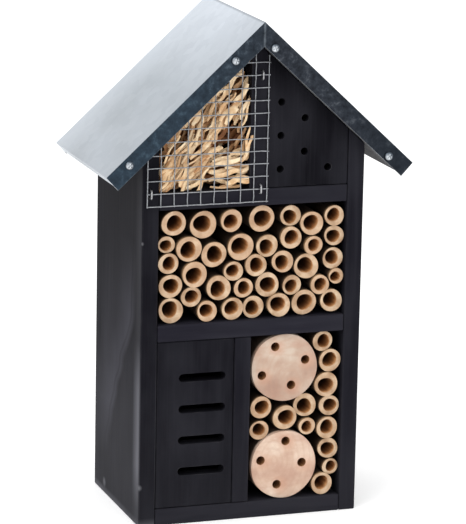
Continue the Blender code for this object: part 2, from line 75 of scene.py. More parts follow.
class Shade:
    """A Principled material with short calls for its nodes."""

    def __init__(self, name):
        self.material = bpy.data.materials.new(name)
        self.material.use_nodes = True
        self.tree = self.material.node_tree
        self.shader = self.tree.nodes["Principled BSDF"]

    def node(self, kind, **values):
        """Adds a node and sets its properties."""
        made = self.tree.nodes.new(kind)
        for key, value in values.items():
            setattr(made, key, value)
        return made

    def put(self, value, socket):
        """Links a socket to an input, or sets the input to a value."""
        if isinstance(value, bpy.types.NodeSocket):
            self.tree.links.new(value, socket)
        else:
            socket.default_value = value

    def coords(self, scale):
        """Object position in metres, times a scale on each axis."""
        source = self.node("ShaderNodeTexCoord")
        mapping = self.node("ShaderNodeMapping")
        mapping.inputs["Scale"].default_value = scale
        self.put(source.outputs["Object"], mapping.inputs["Vector"])
        return mapping.outputs["Vector"]

    def noise(self, vector, detail=4.0, rough=0.5, distortion=0.0):
        made = self.node("ShaderNodeTexNoise")
        self.put(vector, made.inputs["Vector"])
        made.inputs["Scale"].default_value = 1.0
        made.inputs["Detail"].default_value = detail
        made.inputs["Roughness"].default_value = rough
        made.inputs["Distortion"].default_value = distortion
        return made.outputs["Fac"]

    def voronoi(self, vector, output="Distance"):
        made = self.node("ShaderNodeTexVoronoi")
        self.put(vector, made.inputs["Vector"])
        made.inputs["Scale"].default_value = 1.0
        return made.outputs[output]

    def math(self, operation, a, b=0.0):
        made = self.node("ShaderNodeMath", operation=operation)
        self.put(a, made.inputs[0])
        self.put(b, made.inputs[1])
        return made.outputs[0]

    def times(self, a, b):
        return self.math("MULTIPLY", a, b)

    def ramp(self, value, stops, mode="LINEAR"):
        """Colours or greys placed along a value from 0 to 1."""
        made = self.node("ShaderNodeValToRGB")
        ramp = made.color_ramp
        ramp.interpolation = mode
        while len(ramp.elements) < len(stops):
            ramp.elements.new(0.5)
        for element, (position, colour) in zip(ramp.elements, stops):
            element.position = position
            grey = isinstance(colour, (int, float))
            element.color = (colour, colour, colour, 1.0) if grey else (*colour, 1.0)
        self.put(value, made.inputs["Fac"])
        return made.outputs["Color"]

    def mix(self, share, a, b):
        """Colour a, with a share of colour b."""
        made = self.node("ShaderNodeMix", data_type="RGBA")
        self.put(share, made.inputs[0])
        for value, socket in ((a, made.inputs[6]), (b, made.inputs[7])):
            colour = value if isinstance(value, bpy.types.NodeSocket) else (*value, 1.0)
            self.put(colour, socket)
        return made.outputs[2]

    def bump(self, height, depth, strength, under=None):
        made = self.node("ShaderNodeBump")
        made.inputs["Strength"].default_value = strength
        made.inputs["Distance"].default_value = depth
        self.put(height, made.inputs["Height"])
        if under is not None:
            self.put(under, made.inputs["Normal"])
        return made.outputs["Normal"]

    def edges(self, radius):
        """0 on flat faces, rising at convex and concave edges."""
        bevel = self.node("ShaderNodeBevel", samples=6)
        bevel.inputs["Radius"].default_value = radius
        flat = self.node("ShaderNodeNewGeometry")
        dot = self.node("ShaderNodeVectorMath", operation="DOT_PRODUCT")
        self.put(bevel.outputs["Normal"], dot.inputs[0])
        self.put(flat.outputs["Normal"], dot.inputs[1])
        return self.math("SUBTRACT", 1.0, dot.outputs["Value"])

    def facing(self, axis):
        """Absolute share of the surface normal along an axis: 0, 1 or 2."""
        geometry = self.node("ShaderNodeNewGeometry")
        split = self.node("ShaderNodeSeparateXYZ")
        self.put(geometry.outputs["Normal"], split.inputs[0])
        return self.math("ABSOLUTE", split.outputs[axis])

    def island(self):
        """A different value from 0 to 1 for each separate piece of a mesh."""
        return self.node("ShaderNodeNewGeometry").outputs["Random Per Island"]

    def axis(self, index):
        """Object position along an axis, in metres."""
        source = self.node("ShaderNodeTexCoord")
        split = self.node("ShaderNodeSeparateXYZ")
        self.put(source.outputs["Object"], split.inputs[0])
        return split.outputs[index]

    def stretch(self, value, low, high):
        """Maps a range of values onto 0 to 1 and clamps it."""
        made = self.node("ShaderNodeMapRange")
        self.put(value, made.inputs["Value"])
        made.inputs["From Min"].default_value = low
        made.inputs["From Max"].default_value = high
        return made.outputs["Result"]

    def spot(self, point, radius):
        """1 at a point, fading to 0 at a radius."""
        source = self.node("ShaderNodeTexCoord")
        made = self.node("ShaderNodeVectorMath", operation="DISTANCE")
        self.put(source.outputs["Object"], made.inputs[0])
        made.inputs[1].default_value = point
        return self.stretch(made.outputs["Value"], radius, radius * 0.3)

    def finish(self, colour, roughness, normal=None, metallic=0.0):
        self.put(colour, self.shader.inputs["Base Color"])
        self.put(roughness, self.shader.inputs["Roughness"])
        self.shader.inputs["Metallic"].default_value = metallic
        if normal is not None:
            self.put(normal, self.shader.inputs["Normal"])
        return self.material


def stretched(axis, across, along):
    """Texture scale that is fine across the grain and long along it."""
    return tuple(along if i == axis else across for i in range(3))


# ---------------------------------------------------------------- materials


def black_wood(name, axis, fades, sheen_and_wear):
    """Black stained softwood with its grain along an axis; fades scale red, green and blue."""
    s = Shade(name)
    fine = s.noise(s.coords(stretched(axis, 900.0, 18.0)), detail=5.0, rough=0.6)
    bands = s.noise(s.coords(stretched(axis, 95.0, 6.0)), detail=3.0, distortion=0.8)
    patches = s.noise(s.coords(stretched(axis, 34.0, 14.0)), detail=3.0)
    tones = [(0.30, (0.0064, 0.0060, 0.0092)), (0.52, (0.0092, 0.0088, 0.0128)),
             (0.74, (0.0150, 0.0146, 0.0195))]
    tones = [(place, tuple(fade * part for fade, part in zip(fades, tone))) for place, tone in tones]
    base = s.ramp(bands, tones)
    streak = s.ramp(fine, [(0.46, 0.0), (0.74, 1.0)])
    base = s.mix(s.times(streak, 0.25), base, (0.020, 0.020, 0.024))
    base = s.mix(s.times(s.ramp(patches, [(0.44, 0.0), (0.70, 1.0)]), 0.6), base,
                 (0.023, 0.023, 0.029))
    low = s.times(s.stretch(s.axis(2), 0.085, 0.0), 0.35)
    base = s.mix(low, base, (0.026, 0.026, 0.031))
    worn = s.noise(s.coords((160.0, 160.0, 160.0)), detail=3.0)
    edge = s.ramp(s.edges(0.8 * MM), [(0.02, 0.0), (0.25, 1.0)])
    edge = s.times(edge, s.ramp(worn, [(0.42, 0.0), (0.74, 0.5)]))
    base = s.mix(edge, base, (0.085, 0.083, 0.085))
    # the left side board gets a painted sheen as well as its wear and chips
    if sheen_and_wear:
        base = side_sheen_and_wear(s, base, fine)
    rough = s.math("ADD", s.times(fine, 0.2), 0.52)
    grain = s.bump(fine, 0.00014, 0.5)
    s.shader.inputs["Specular IOR Level"].default_value = 0.03
    return s.finish(base, rough, s.bump(bands, 0.0003, 0.3, grain))


def side_sheen_and_wear(s, base, fine):
    """Painted sheen in a pale band along the grain of the left side board's outer face, which is also
    darker towards the top and lighter near its foot and front edge; with an edge worn by handling and two
    chips.
    """
    depth, height = s.axis(1), s.axis(2)
    # painted sheen: a pale band along the grain, bounded by this outline up the board
    outline = [(0.05, 0.80), (0.17, 0.66), (0.27, 0.58), (0.36, 0.50), (0.45, 0.38), (0.62, 0.17),
               (0.78, 0.15), (1.0, 0.30)]
    along = s.times(height, 5.0)
    boundary = s.ramp(along, outline, "EASE")
    wave = s.noise(s.coords((20.0, 20.0, 60.0)), detail=2.0)
    place = s.stretch(depth, -0.040, 0.060)
    place = s.math("ADD", place, s.times(s.math("SUBTRACT", wave, 0.5), 0.05))
    past = s.math("SUBTRACT", place, boundary)
    fade = s.ramp(along, [(0.12, 0.0), (0.30, 1.0), (0.62, 0.85), (0.85, 0.0)])
    field = s.ramp(past, [(0.0, 0.0), (0.05, 0.36), (0.28, 0.14), (0.50, 0.05)])
    line = s.ramp(s.math("ABSOLUTE", past), [(0.0, 0.75), (0.06, 0.0)])
    sheen = s.times(s.math("MAXIMUM", field, s.times(line, 0.42)), fade)
    sheen = s.times(sheen, s.ramp(fine, [(0.25, 0.6), (0.6, 1.0)]))
    outer = s.ramp(s.facing(0), [(0.6, 0.0), (0.9, 1.0)])
    top = s.times(s.ramp(along, [(0.50, 0.0), (0.76, 0.75)]), outer)
    base = s.mix(top, base, (0.0060, 0.0058, 0.0082))
    foot = s.times(s.ramp(along, [(0.30, 0.42), (0.50, 0.0)]), outer)
    base = s.mix(foot, base, (0.030, 0.030, 0.035))
    # painted sheen on the outer face
    base = s.mix(s.times(s.times(sheen, outer), 0.55), base, (0.150, 0.150, 0.185))
    strip = s.ramp(s.stretch(depth, -0.042, -0.026), [(0.0, 0.2), (0.35, 0.75), (1.0, 0.0)])
    strip = s.times(strip, s.ramp(along, [(0.05, 0.2), (0.18, 1.0), (0.42, 0.8), (0.56, 0.15)]))
    strip = s.times(s.times(strip, outer), 0.8)
    base = s.mix(strip, base, (0.170, 0.170, 0.195))
    low = s.times(s.ramp(s.stretch(height, 0.0, 0.005), [(0.0, 0.9), (1.0, 0.0)]), wave)
    base = s.mix(low, base, (0.16, 0.16, 0.18))
    left = SIDE_LOW.x
    for point, radius in (((left, FRONT, 0.024), 0.0022), ((left, FRONT, 0.171), 0.0014),
                          ((left, 0.030, 0.007), 0.0035)):
        base = s.mix(s.times(s.spot(point, radius), 0.55), base, (0.15, 0.15, 0.165))
    return base


def galvanised(name):
    """Zinc sheet: pale slopes with painted light, lighter towards the top and the back; flanges painted
    dark as shade and reflection; soft spangle; painted highlights along edges and folds, and a light
    seam.
    """
    s = Shade(name)
    spangle = s.voronoi(s.coords((170.0, 170.0, 170.0)), output="Color")
    split = s.node("ShaderNodeSeparateColor")
    s.put(spangle, split.inputs[0])
    cell = split.outputs[0]
    cloud = s.noise(s.coords((16.0, 12.0, 16.0)), detail=3.0, rough=0.5)
    speck = s.noise(s.coords((900.0, 900.0, 900.0)), detail=2.0)
    # painted light: the slopes grow lighter towards the top
    rise = s.stretch(s.axis(2), 0.205, 0.298)
    pale = s.ramp(rise, [(0.0, (0.375, 0.40, 0.425)), (0.55, (0.39, 0.425, 0.46)),
                         (1.0, (0.64, 0.685, 0.745))])
    soft = s.times(s.ramp(cloud, [(0.40, 0.0), (0.62, 1.0)]), 0.45)
    pale = s.mix(soft, pale, (0.50, 0.545, 0.60))
    pale = s.mix(s.times(cell, 0.14), pale, (0.30, 0.325, 0.36))
    # painted light towards the back and painted shade towards the front
    pale = s.mix(s.times(s.stretch(s.axis(1), 0.015, 0.050), 0.5), pale, (0.62, 0.665, 0.72))
    pale = s.mix(s.times(s.stretch(s.axis(1), -0.005, -0.045), 0.3), pale, (0.34, 0.365, 0.395))
    ridge = s.times(s.stretch(s.math("ABSOLUTE", s.axis(0)), 0.0013, 0.0004), 0.6)
    pale = s.mix(ridge, pale, (0.20, 0.22, 0.25))
    mottle = s.noise(s.coords((210.0, 210.0, 210.0)), detail=6.0, rough=0.7)
    # painted shade and reflection for the flanges: teal on the left, grey to the right and darker at the
    # right end
    teal = s.ramp(mottle, [(0.34, (0.010, 0.017, 0.026)), (0.55, (0.020, 0.034, 0.050)),
                           (0.74, (0.055, 0.088, 0.118))])
    grey = s.ramp(mottle, [(0.36, (0.007, 0.009, 0.013)), (0.56, (0.022, 0.027, 0.036)),
                           (0.74, (0.090, 0.100, 0.115))])
    dark = s.mix(s.stretch(s.axis(0), -0.045, 0.010), teal, grey)
    dark = s.mix(s.times(s.stretch(s.axis(0), 0.040, 0.075), 0.5), dark, (0.006, 0.010, 0.016))
    # faces turned front and back take the painted dark colours, the rest the pale ones
    front = s.ramp(s.facing(1), [(0.60, 0.0), (0.80, 1.0)])
    seam = s.times(s.stretch(s.math("ABSOLUTE", s.axis(0)), 0.0009, 0.0002), 0.45)
    patchiness = s.ramp(mottle, [(0.30, 0.25), (0.65, 1.0)])
    # painted highlights along edges and folds, broken into patches; the light seam at the middle is the
    # sheet's own
    bright = s.times(s.ramp(s.edges(0.5 * MM), [(0.03, 0.0), (0.30, 0.9)]), patchiness)
    dark = s.mix(s.math("MAXIMUM", bright, s.times(seam, patchiness)), dark, (0.20, 0.23, 0.26))
    colour = s.mix(front, pale, dark)
    rough = s.math("ADD", s.times(cell, 0.10), 0.36)
    rough = s.math("ADD", rough, s.times(speck, 0.08))
    s.shader.inputs["Specular IOR Level"].default_value = 0.2
    return s.finish(colour, rough, s.bump(cloud, 0.0006, 0.25), metallic=0.6)


def zinc(name, colour, roughness):
    """Zinc plated wire with dull patches."""
    s = Shade(name)
    grime = s.noise(s.coords((700.0, 700.0, 700.0)), detail=4.0)
    shade = s.mix(s.ramp(grime, [(0.40, 0.0), (0.75, 0.7)]), colour, tuple(c * 0.45 for c in colour))
    rough = s.math("ADD", s.times(grime, 0.25), roughness)
    return s.finish(shade, rough, s.bump(grime, 0.0001, 0.3), metallic=0.9)


def bamboo_end(name):
    """Sawn end: pale, with dark fibre bundles and faint saw marks; each cane differs."""
    s = Shade(name)
    fibres = s.voronoi(s.coords((1900.0, 60.0, 1900.0)))
    cloud = s.noise(s.coords((170.0, 20.0, 170.0)), detail=3.0)
    saw = s.noise(s.coords((90.0, 90.0, 1500.0)), detail=2.0)
    colour = s.ramp(cloud, [(0.30, (0.32, 0.195, 0.108)), (0.50, (0.455, 0.305, 0.188)),
                            (0.70, (0.585, 0.435, 0.292))])
    own = s.island()
    colour = s.mix(s.ramp(own, [(0.10, 0.9), (0.46, 0.0)]), colour, (0.26, 0.205, 0.130))
    colour = s.mix(s.ramp(own, [(0.70, 0.0), (0.98, 0.6)]), colour, (0.50, 0.31, 0.19))
    dots = s.ramp(fibres, [(0.10, 0.5), (0.32, 0.0)])
    colour = s.mix(dots, colour, (0.27, 0.14, 0.065))
    return s.finish(colour, 0.66, s.bump(s.math("ADD", fibres, saw), 0.00012, 0.5))


def bamboo_skin(name):
    """Cane skin, tan near the sawn end and darkened further in as painted shade."""
    s = Shade(name)
    along = s.noise(s.coords(stretched(1, 700.0, 14.0)), detail=4.0)
    cloud = s.noise(s.coords(stretched(1, 90.0, 25.0)), detail=3.0)
    colour = s.ramp(cloud, [(0.30, (0.22, 0.125, 0.055)), (0.55, (0.33, 0.20, 0.10)),
                            (0.75, (0.44, 0.30, 0.165))])
    streak = s.times(s.ramp(along, [(0.45, 0.0), (0.7, 1.0)]), 0.45)
    colour = s.mix(streak, colour, (0.16, 0.085, 0.04))
    # painted shade: the skin darkens a little behind the front
    recess_shade = s.stretch(s.axis(1), FRONT + 2.2 * MM, FRONT + 5.0 * MM)
    colour = s.mix(s.times(recess_shade, 0.96), colour, (0.018, 0.009, 0.005))
    return s.finish(colour, 0.6, s.bump(along, 0.00015, 0.4))


def bamboo_bore(name):
    """Inside of a cane: orange, with painted light at the pale mouth and painted shade further in."""
    s = Shade(name)
    along = s.noise(s.coords(stretched(1, 500.0, 20.0)), detail=4.0)
    colour = s.ramp(along, [(0.35, (0.33, 0.135, 0.040)), (0.60, (0.55, 0.26, 0.092)),
                            (0.78, (0.70, 0.39, 0.175))])
    # painted shade deeper in the bore
    recess_shade = s.stretch(s.axis(1), FRONT + 5.0 * MM, FRONT + 16.0 * MM)
    colour = s.mix(s.times(recess_shade, 0.85), colour, (0.035, 0.014, 0.006))
    # painted light near the mouth
    mouth_light = s.stretch(s.axis(1), FRONT + 6.0 * MM, FRONT + 2.5 * MM)
    colour = s.mix(s.times(mouth_light, 0.45), colour, (0.68, 0.44, 0.24))
    return s.finish(colour, 0.75, s.bump(along, 0.0002, 0.5))


def log_end(name, centre, tilt, holes, front, tone):
    """Sawn end grain: rings round a pith off the middle, blotches and a warm patch at each hole."""
    s = Shade(name)
    source = s.node("ShaderNodeTexCoord")
    mapping = s.node("ShaderNodeMapping")
    mapping.inputs["Location"].default_value = (-centre[0], 0.0, -centre[1])
    s.put(source.outputs["Object"], mapping.inputs["Vector"])
    turn = s.node("ShaderNodeMapping")
    turn.inputs["Rotation"].default_value = (0.0, tilt, 0.0)
    turn.inputs["Scale"].default_value = (1.0, 0.0, 0.72)
    s.put(mapping.outputs["Vector"], turn.inputs["Vector"])
    wave = s.node("ShaderNodeTexWave", wave_type="RINGS", rings_direction="SPHERICAL")
    wave.inputs["Scale"].default_value = 92.0
    wave.inputs["Distortion"].default_value = 2.2
    wave.inputs["Detail"].default_value = 3.0
    wave.inputs["Detail Scale"].default_value = 1.1
    s.put(turn.outputs["Vector"], wave.inputs["Vector"])
    ring = wave.outputs["Fac"]
    blotch = s.noise(s.coords((55.0, 10.0, 55.0)), detail=4.0)
    fibre = s.noise(s.coords((2200.0, 60.0, 2200.0)), detail=2.0)
    stops = [(0.34, (0.43, 0.260, 0.190)), (0.50, (0.55, 0.385, 0.290)), (0.64, (0.66, 0.53, 0.425))]
    base = s.ramp(blotch, [(place, tuple(tone * part for part in colour)) for place, colour in stops])
    blush = s.noise(s.coords((38.0, 10.0, 120.0)), detail=4.0, rough=0.6)
    pink = s.times(s.ramp(blush, [(0.50, 0.0), (0.72, 1.0)]), 0.6)
    base = s.mix(pink, base, (0.42, 0.235, 0.165))
    for x, z in holes:
        warm = s.spot((x + 1.2 * MM, front, z - 0.8 * MM), 6.5 * MM)
        base = s.mix(s.times(warm, 0.5), base, (0.50, 0.25, 0.155))
    late = s.ramp(ring, [(0.55, 0.0), (0.92, 1.0)])
    base = s.mix(s.times(late, 0.16), base, (0.42, 0.25, 0.17))
    base = s.mix(s.times(s.ramp(fibre, [(0.5, 0.0), (0.8, 1.0)]), 0.22), base, (0.42, 0.26, 0.17))
    # painted shade: the log's side darkens behind its sawn end
    recess_shade = s.stretch(s.axis(1), front + 2.2 * MM, front + 4.2 * MM)
    base = s.mix(s.times(recess_shade, 0.96), base, (0.025, 0.013, 0.008))
    return s.finish(base, 0.68, s.bump(s.math("ADD", ring, fibre), 0.00012, 0.4))


def hole_wood(name):
    """Scorched wall of a drilled hole."""
    s = Shade(name)
    char = s.noise(s.coords((600.0, 60.0, 600.0)), detail=4.0)
    colour = s.ramp(char, [(0.35, (0.20, 0.085, 0.030)), (0.65, (0.40, 0.20, 0.085))])
    return s.finish(colour, 0.8, s.bump(char, 0.0002, 0.5))


def shavings(name, tones):
    """Wood wool in one of several tones, streaked along each strand by its own position."""
    s = Shade(name)
    cloud = s.noise(s.coords((260.0, 260.0, 260.0)), detail=4.0)
    fine = s.noise(s.coords((1500.0, 1500.0, 1500.0)), detail=2.0)
    colour = s.ramp(cloud, [(0.30, tones[0]), (0.52, tones[1]), (0.74, tones[2])])
    own = s.island()
    colour = s.mix(s.ramp(own, [(0.0, 0.7), (0.3, 0.0)]), colour, tones[0])
    colour = s.mix(s.ramp(own, [(0.65, 0.0), (1.0, 0.7)]), colour, tones[2])
    colour = s.mix(s.times(fine, 0.25), colour, tones[0])
    return s.finish(colour, 0.72, s.bump(fine, 0.0002, 0.5))


# ---------------------------------------------------------------- piece helpers


def piece(name, mesh, materials, replaces):
    """Makes an object that rides the root body in place of CAD nodes."""
    for material in materials:
        mesh.materials.append(material)
    obj = bpy.data.objects.new(name, mesh)
    bpy.context.scene.collection.objects.link(obj)
    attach(obj, "root")
    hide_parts(*replaces)
    return obj


def grid_mesh(rings, closed_ends=True, materials=None):
    """Quads between closed rings of points; the last ring joins the first unless ends are closed."""
    count, around = len(rings), len(rings[0])
    points = [tuple(point) for ring in rings for point in ring]
    faces = []
    kinds = []
    last = count - 1 if closed_ends else count
    for i in range(last):
        j = (i + 1) % count
        for k in range(around):
            n = (k + 1) % around
            faces.append((i * around + k, i * around + n, j * around + n, j * around + k))
            kinds.append(materials[i] if materials else 0)
    if closed_ends:
        faces.append(tuple(range(around))[::-1])
        faces.append(tuple((count - 1) * around + k for k in range(around)))
        kinds += [kinds[0], kinds[-1]]
    return points, faces, kinds


def add_faces(store, points, faces, kinds):
    """Adds one shape to a store of points, faces and material numbers."""
    base = len(store[0])
    store[0].extend(points)
    store[1].extend(tuple(base + index for index in face) for face in faces)
    store[2].extend(kinds)


def cut_away(target, cutter_bm, sharp_degrees, crossing=False):
    """Cuts a shape out of an object's mesh."""
    cutter_mesh = bpy.data.meshes.new("cutter")
    cutter_bm.to_mesh(cutter_mesh)
    cutter_bm.free()
    for material in target.data.materials:
        cutter_mesh.materials.append(material)
    cutter = bpy.data.objects.new("cutter", cutter_mesh)
    bpy.context.scene.collection.objects.link(cutter)
    cut = target.modifiers.new("cut", "BOOLEAN")
    cut.operation = "DIFFERENCE"
    cut.solver = "EXACT"
    cut.use_self = crossing
    cut.object = cutter
    bpy.context.view_layer.update()
    graph = bpy.context.evaluated_depsgraph_get()
    result = bpy.data.meshes.new_from_object(target.evaluated_get(graph))
    target.modifiers.clear()
    target.data = result
    result.shade_smooth()
    result.set_sharp_from_angle(angle=math.radians(sharp_degrees))
    bpy.data.objects.remove(cutter, do_unlink=True)


def to_mesh(name, points, faces, kinds):
    """Mesh with outward normals, smooth apart from sharp edges."""
    mesh = bpy.data.meshes.new(name)
    mesh.from_pydata(points, [], faces)
    mesh.polygons.foreach_set("material_index", kinds)
    bm = bmesh.new()
    bm.from_mesh(mesh)
    bmesh.ops.recalc_face_normals(bm, faces=bm.faces)
    bm.to_mesh(mesh)
    bm.free()
    mesh.shade_smooth()
    mesh.set_sharp_from_angle(angle=math.radians(50))
    mesh.update()
    return mesh


# ---------------------------------------------------------------- bamboo


SAME_DEPTH = 0.015 * MM  # points nearer than this in depth lie on one sawn end


def cane_circles(name):
    """Centre, radius, bore centre, bore radius and front of each tube in a CAD bundle.

    The CAD's tubes start at different depths, so that the points at one depth are one tube's end.
    """
    mesh = NODES[name].data
    points = np.array([vertex.co for vertex in mesh.vertices])
    fronts = []
    rear = points[:, 1].max()
    for y in np.unique(np.round(points[:, 1], 5)):
        if y < rear - 20 * MM and (not fronts or y - fronts[-1] > 0.02 * MM):
            ring = points[np.abs(points[:, 1] - y) < SAME_DEPTH]
            if len(ring) >= 28:
                fronts.append(y)
    circles = []
    for y in fronts:
        ring = points[np.abs(points[:, 1] - y) < SAME_DEPTH][:, [0, 2]]
        middle = (ring.min(axis=0) + ring.max(axis=0)) / 2
        radius = (ring.max(axis=0) - ring.min(axis=0)).max() / 2
        inner = ring[np.linalg.norm(ring - middle, axis=1) < 0.8 * radius]
        bore = inner.mean(axis=0)
        bore_radius = np.linalg.norm(inner - bore, axis=1).mean()
        circles.append((middle, radius, bore, bore_radius, y))
    return circles, rear


AROUND = 40
CANE_RECESS = 1.0 * MM  # the sawn ends lie this much further in than the CAD's
BORE_NUDGE = np.array([-0.35 * MM, 0.0])  # moves the bores of the middle chamber
BORE_WIDER = 0.15 * MM


def cane_rings(circle, rear, nudge):
    """Rings of one tube: down the skin, over the sawn end and back along the bore."""
    middle, radius, bore, bore_radius, front = circle
    front = front + CANE_RECESS
    bore = bore + nudge
    bore_radius = bore_radius + BORE_WIDER
    angles = np.linspace(0.0, 2 * math.pi, AROUND, endpoint=False)
    phase = RNG.uniform(0, 2 * math.pi, 4)
    wobble = 0.022 * np.cos(2 * angles + phase[0]) + 0.012 * np.cos(3 * angles + phase[1]) - 0.008
    hollow = 0.05 * np.cos(2 * angles + phase[2]) + 0.03 * np.cos(3 * angles + phase[3])
    tilt = RNG.normal(0, 0.018, 2)
    knot = front + RNG.uniform(0.2, 0.8) * (rear - front)
    chamfer = 0.15 * MM

    def ring(centre, size, shape, y, sloped):
        x = centre[0] + size * (1 + shape) * np.cos(angles)
        z = centre[1] + size * (1 + shape) * np.sin(angles)
        depth = np.full(AROUND, y)
        if sloped:
            depth = depth + (x - centre[0]) * tilt[0] + (z - centre[1]) * tilt[1]
        return np.stack([x, depth, z], axis=1)

    rings = []
    kinds = []
    # depth and added radius in mm: the rear, a knot between two grooves, the front
    skin = [(rear, 0.0), (knot + 2.2 * MM, -0.12), (knot, 0.10), (knot - 1.6 * MM, -0.12),
            (front + 5 * MM, -0.05), (front + 0.35 * MM, -0.05)]
    for y, swell in skin:
        rings.append(ring(middle, radius + swell * MM, wobble, y, y < front + 1 * MM))
        kinds.append(0)
    for share in (0.0, 0.35, 0.7):
        centre = middle + (bore - middle) * share
        size = (radius - chamfer) + (bore_radius + chamfer * 0.6 - radius + chamfer) * share
        shape = wobble * (1 - share) + hollow * share
        rings.append(ring(centre, size, shape, front + 0.05 * MM, True))
        kinds.append(1)
    rings.append(ring(bore, bore_radius + 0.25 * MM, hollow, front + 0.05 * MM, True))
    kinds.append(1)
    for depth in (0.35, 1.2, 4.0, 12.0, 30.0):
        rings.append(ring(bore, bore_radius, hollow, front + depth * MM, depth < 1))
        kinds.append(2)
    rings.append(ring(bore, bore_radius, hollow, rear, False))
    kinds.append(1)
    return rings, kinds


def make_canes():
    """One mesh of tubes for each CAD bundle, with skin, sawn ends and bores."""
    materials = [bamboo_skin("bamboo_skin"), bamboo_end("bamboo_sawn_end"), bamboo_bore("bamboo_bore")]
    for name in sorted(NODES):
        if "_bamboo_" not in name:
            continue
        store = ([], [], [])
        circles, rear = cane_circles(name)
        nudge = BORE_NUDGE if name.startswith("middle") else np.zeros(2)
        for circle in circles:
            rings, ring_kinds = cane_rings(circle, rear, nudge)
            add_faces(store, *grid_mesh(rings, False, ring_kinds))
        piece(f"{name}_cane", to_mesh(name, *store), materials, [name])


# ---------------------------------------------------------------- logs


HOLE_SPACING = 8.0 * MM  # points nearer than this belong to one hole
HOLE_RADIUS = 2.7 * MM
HOLE_DEPTH = 60.0 * MM
LOG_RIM = 0.3 * MM
DRILL_LEAD = 2.0 * MM  # the drill starts this far in front of the log
# the pith's place across and up from the middle, turn of the rings, brightness
LOGS = {
    "log_section_upper": ((4 * MM, -9 * MM), 0.5, 0.80),
    "log_section_lower": ((-6 * MM, 3 * MM), -0.7, 1.02),
}


def hole_centres(name):
    """Centres of the blind holes' floors, the only points deep inside a CAD log."""
    points = np.array([vertex.co for vertex in NODES[name].data.vertices])
    low, high = points[:, 1].min(), points[:, 1].max()
    inner = points[(points[:, 1] > low + 30 * MM) & (points[:, 1] < high - 5 * MM)]
    centres = []
    left = inner[:, [0, 2]]
    while len(left):
        near = np.linalg.norm(left - left[0], axis=1) < HOLE_SPACING
        group = left[near]
        centres.append((group.min(axis=0) + group.max(axis=0)) / 2)
        left = left[~near]
    return centres


def make_logs():
    """Log sections, a little out of round, with soft rims and the CAD's blind holes."""
    around = 112
    inside = hole_wood("drilled_hole")
    for name, (pith, tilt, tone) in LOGS.items():
        low, high = span(name)
        middle = (low + high) / 2
        radius = (high.x - low.x) / 2
        angles = np.linspace(0, 2 * math.pi, around, endpoint=False)
        phase = RNG.uniform(0, 2 * math.pi, 3)
        shape = 1 + 0.008 * np.cos(2 * angles + phase[0]) + 0.005 * np.cos(5 * angles + phase[1])

        def ring(size, y):
            return np.stack([middle.x + size * shape * np.cos(angles), np.full(around, y),
                             middle.z + size * shape * np.sin(angles)], axis=1)

        rings = [ring(radius - LOG_RIM, high.y), ring(radius, high.y - LOG_RIM),
                 ring(radius, low.y + LOG_RIM), ring(radius - LOG_RIM / 4, low.y + LOG_RIM / 4),
                 ring(radius - LOG_RIM, low.y)]
        mesh = to_mesh(name, *grid_mesh(rings))
        holes = hole_centres(name)
        core = (middle.x + pith[0], middle.z + pith[1])
        end = log_end(f"{name}_end_grain", core, tilt, holes, low.y, tone)
        log = piece(f"{name}_wood", mesh, [end, inside], [name])
        drill = bmesh.new()
        for x, z in holes:
            place = Matrix.Translation((x, low.y + (HOLE_DEPTH - DRILL_LEAD) / 2, z))
            place = place @ Matrix.Rotation(math.pi / 2, 4, "X")
            bmesh.ops.create_cone(drill, cap_ends=True, segments=40, radius1=HOLE_RADIUS,
                                  radius2=HOLE_RADIUS, depth=HOLE_DEPTH + DRILL_LEAD, matrix=place)
        for face in drill.faces:
            face.material_index = 1
        cut_away(log, drill, 40)


# ---------------------------------------------------------------- wire mesh and staples


def tube_rings(path, radius, sides=10):
    """Round rings along a path of points."""
    path = [Vector(point) for point in path]
    rings = []
    up = Vector((0.13, 0.31, 0.94)).normalized()
    for i, point in enumerate(path):
        ahead = path[min(i + 1, len(path) - 1)] - path[max(i - 1, 0)]
        ahead.normalize()
        side = ahead.cross(up).normalized()
        lift = side.cross(ahead).normalized()
        ring = []
        for k in range(sides):
            angle = 2 * math.pi * k / sides
            ring.append(point + radius * (math.cos(angle) * side + math.sin(angle) * lift))
        rings.append([tuple(co) for co in ring])
    return rings


def add_tube(store, path, radius, sides=10):
    """Adds a round wire along a path to a store."""
    add_faces(store, *grid_mesh(tube_rings(path, radius, sides)))


MESH_COLUMN = 8.0 * MM
MESH_ROW = 7.45 * MM
MESH_TRIM = 1.0 * MM  # the mesh stops this far below the roof
WIRE_END = 0.65 * MM  # the wires run this far past the outer crossings
CAD_WIRE = 0.9 * MM
WIRE_RADIUS = 0.34 * MM  # thinner than the CAD's wire, as the photo shows
WIRE_SWAY = 0.10 * MM
WIRE_STEP = 4.1 * MM
STAPLE_RADIUS = 0.5 * MM
STAPLE_BEND = 0.9 * MM


